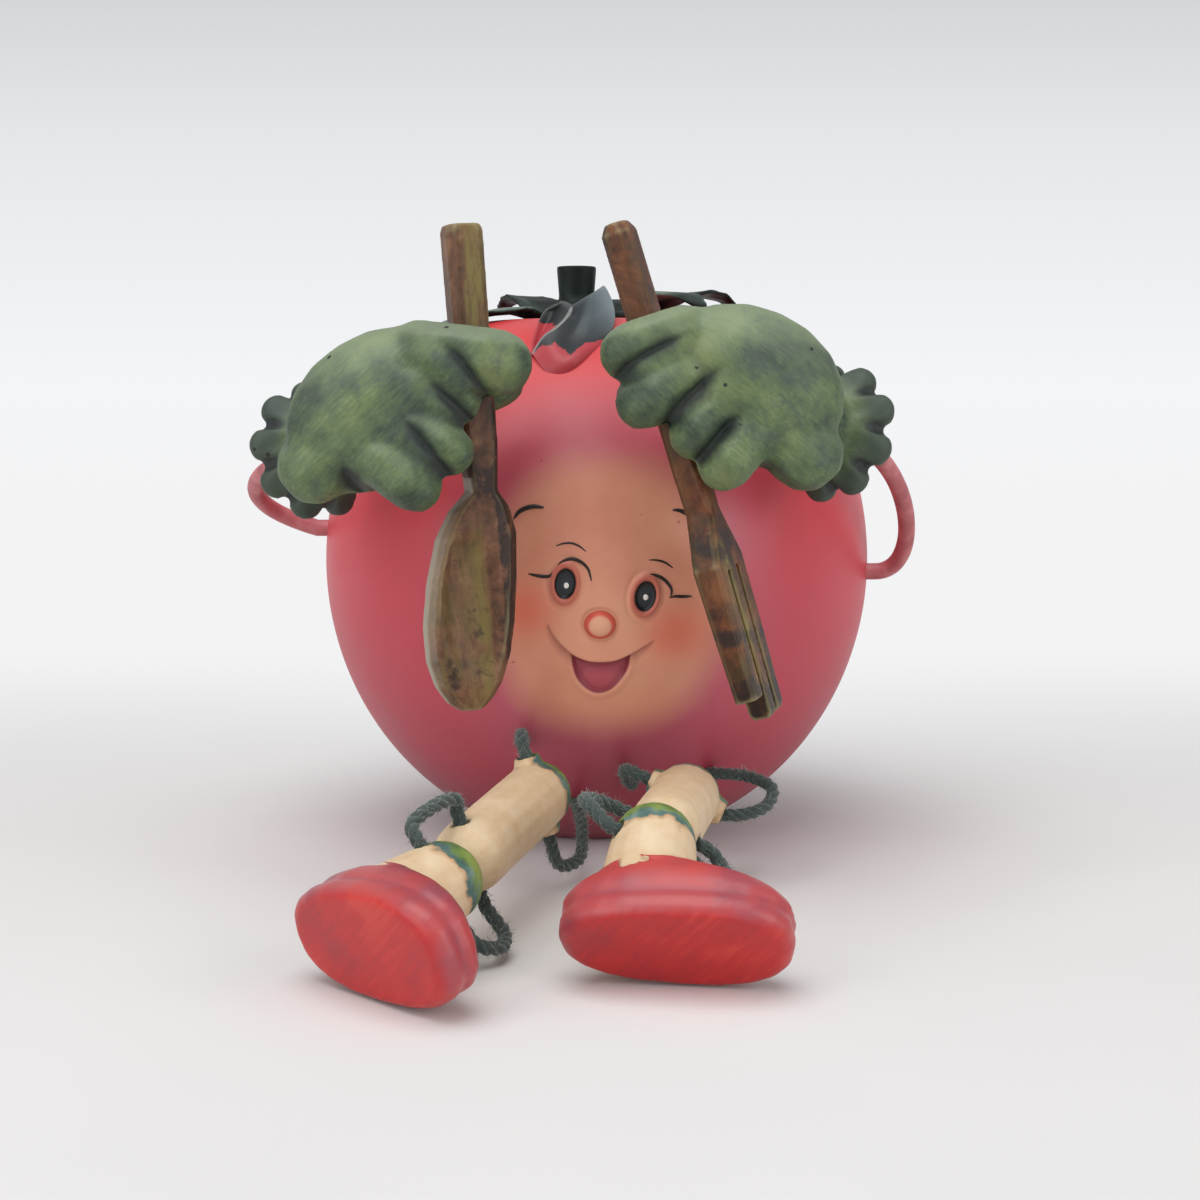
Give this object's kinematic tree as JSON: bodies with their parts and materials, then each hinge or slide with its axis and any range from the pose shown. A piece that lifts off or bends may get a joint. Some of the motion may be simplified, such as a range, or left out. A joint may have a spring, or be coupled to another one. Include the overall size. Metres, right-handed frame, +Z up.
{
  "type": "shelf sitter doll",
  "caption": "Tomato figure that sits on a shelf edge, with a smiling face, leafy calyx, bendable wire arms whose gloves grip a spoon and a fork, and legs strung on cord.",
  "frame": {"origin": "centre of the tomato's flat base", "axes": "+Z up, the face looks along -Y, +X to the right as seen from the front"},
  "size_m": [0.1185, 0.172, 0.1061],
  "materials": {
    "tomato_paint": "satin",
    "leaf_paint": "matte",
    "wire": "drawn",
    "sleeve": "satin",
    "glove_paint": "matte",
    "spoon_paint": "satin",
    "fork_paint": "satin",
    "leg_paint": "matte",
    "shoe_paint": "satin",
    "cotton_cord": "twisted"
  },
  "bodies": {
    "body": {"tomato_body": "tomato_paint", "calyx": "leaf_paint", "stem": "leaf_paint", "left_hip_cord": "cotton_cord", "right_hip_cord": "cotton_cord"},
    "left_arm": {"left_arm_wire": "wire", "left_arm_sleeve": "sleeve"},
    "right_arm": {"right_arm_wire": "wire", "right_arm_sleeve": "sleeve"},
    "left_hand": {"left_glove": "glove_paint", "spoon": "spoon_paint"},
    "right_hand": {"right_glove": "glove_paint", "fork": "fork_paint"},
    "left_upper_leg": {"left_thigh": "leg_paint", "left_knee_cord": "cotton_cord"},
    "right_upper_leg": {"right_thigh": "leg_paint", "right_knee_cord": "cotton_cord"},
    "left_lower_leg": {"left_shin": "leg_paint", "left_shoe": "shoe_paint"},
    "right_lower_leg": {"right_shin": "leg_paint", "right_shoe": "shoe_paint"}
  },
  "joints": [
    {"name": "left_shoulder", "type": "hinge", "parent": "body", "child": "left_arm", "pos_m": [-0.04951, -0.007, 0.0554], "axis": [1, 0, 0], "range_deg": [-75, 10]},
    {"name": "right_shoulder", "type": "hinge", "parent": "body", "child": "right_arm", "pos_m": [0.04899, -0.01, 0.0477], "axis": [1, 0, 0], "range_deg": [-25, 10]},
    {"name": "left_wrist", "type": "hinge", "parent": "left_arm", "child": "left_hand", "pos_m": [-0.04599, -0.042, 0.07048], "axis": [0.5953, -0.7868, 0.163], "range_deg": [-25, 15]},
    {"name": "right_wrist", "type": "hinge", "parent": "right_arm", "child": "right_hand", "pos_m": [0.03833, -0.045, 0.0735], "axis": [-0.65, -0.7305, 0.2094], "range_deg": [-10, 30]},
    {"name": "left_hip", "type": "hinge", "parent": "body", "child": "left_upper_leg", "pos_m": [-0.0094, -0.056, 0.0163], "axis": [1, 0, 0], "range_deg": [-15, 80], "deforming": ["left_hip_cord"]},
    {"name": "right_hip", "type": "hinge", "parent": "body", "child": "right_upper_leg", "pos_m": [0.0146, -0.051, 0.015], "axis": [1, 0, 0], "range_deg": [-15, 80], "deforming": ["right_hip_cord"]},
    {"name": "left_knee", "type": "hinge", "parent": "left_upper_leg", "child": "left_lower_leg", "pos_m": [-0.0181, -0.08458, 0.01354], "axis": [1, 0, 0], "range_deg": [-15, 60], "deforming": ["left_knee_cord"]},
    {"name": "right_knee", "type": "hinge", "parent": "right_upper_leg", "child": "right_lower_leg", "pos_m": [0.00995, -0.0806, 0.0165], "axis": [1, 0, 0], "range_deg": [-15, 60], "deforming": ["right_knee_cord"]}
  ]
}
